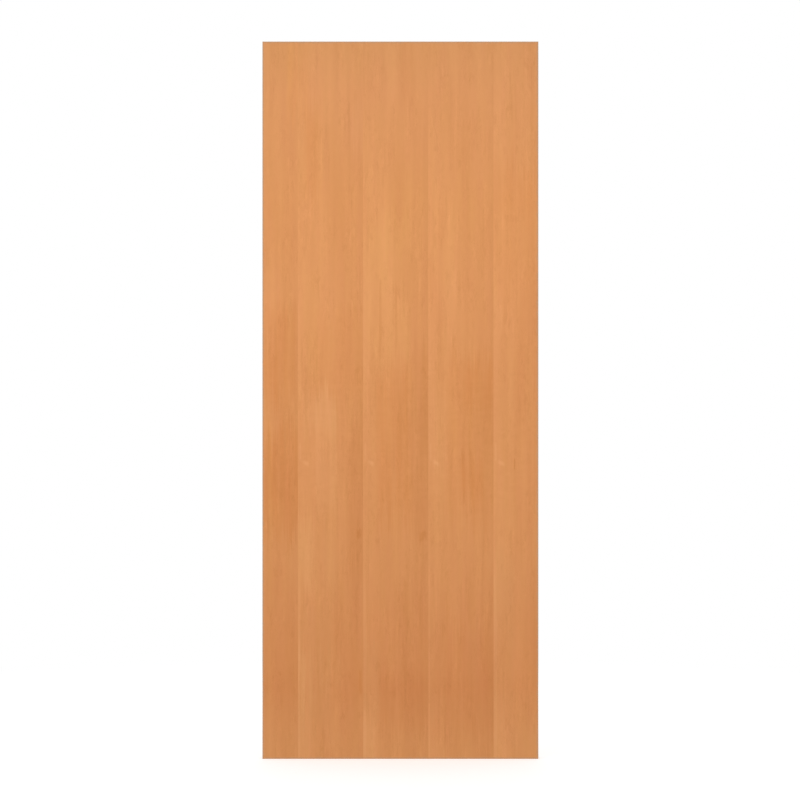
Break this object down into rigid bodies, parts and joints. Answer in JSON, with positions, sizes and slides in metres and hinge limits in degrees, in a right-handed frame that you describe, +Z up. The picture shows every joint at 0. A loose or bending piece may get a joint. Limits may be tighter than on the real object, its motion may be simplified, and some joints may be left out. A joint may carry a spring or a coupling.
{
  "type": "batten core flush door",
  "caption": "Flush door leaf: vertical timber battens and stiles, hardwood edge lippings and three-ply skins faced with slip-matched quarter-cut veneer.",
  "frame": {"origin": "foot of the hinge edge: on the flat face of the hinge edge, at mid thickness, level with the bottom edge", "axes": "+X across the leaf from the hinge edge to the lock edge, +Y from the front face to the back face through the thickness, +Z up the leaf from the bottom edge to the top edge"},
  "size_m": [0.762, 0.04, 1.981],
  "materials": {
    "face_veneer": "matte",
    "crossband": "matte",
    "inner_ply": "matte",
    "lipping": "matte",
    "stile": "matte",
    "core_batten": "matte"
  },
  "bodies": {
    "root": {"front_veneer_leaf_1": "face_veneer", "front_veneer_leaf_2": "face_veneer", "front_veneer_leaf_3": "face_veneer", "front_veneer_leaf_4": "face_veneer", "front_veneer_leaf_5": "face_veneer", "back_veneer_leaf_1": "face_veneer", "back_veneer_leaf_2": "face_veneer", "back_veneer_leaf_3": "face_veneer", "back_veneer_leaf_4": "face_veneer", "back_veneer_leaf_5": "face_veneer", "front_crossband": "crossband", "front_inner_ply": "inner_ply", "back_crossband": "crossband", "back_inner_ply": "inner_ply", "hinge_lipping": "lipping", "lock_lipping": "lipping", "hinge_stile": "stile", "lock_stile": "stile", "core_batten_01": "core_batten", "core_batten_02": "core_batten", "core_batten_03": "core_batten", "core_batten_04": "core_batten", "core_batten_05": "core_batten", "core_batten_06": "core_batten", "core_batten_07": "core_batten", "core_batten_08": "core_batten", "core_batten_09": "core_batten", "core_batten_10": "core_batten", "core_batten_11": "core_batten"}
  },
  "joints": []
}
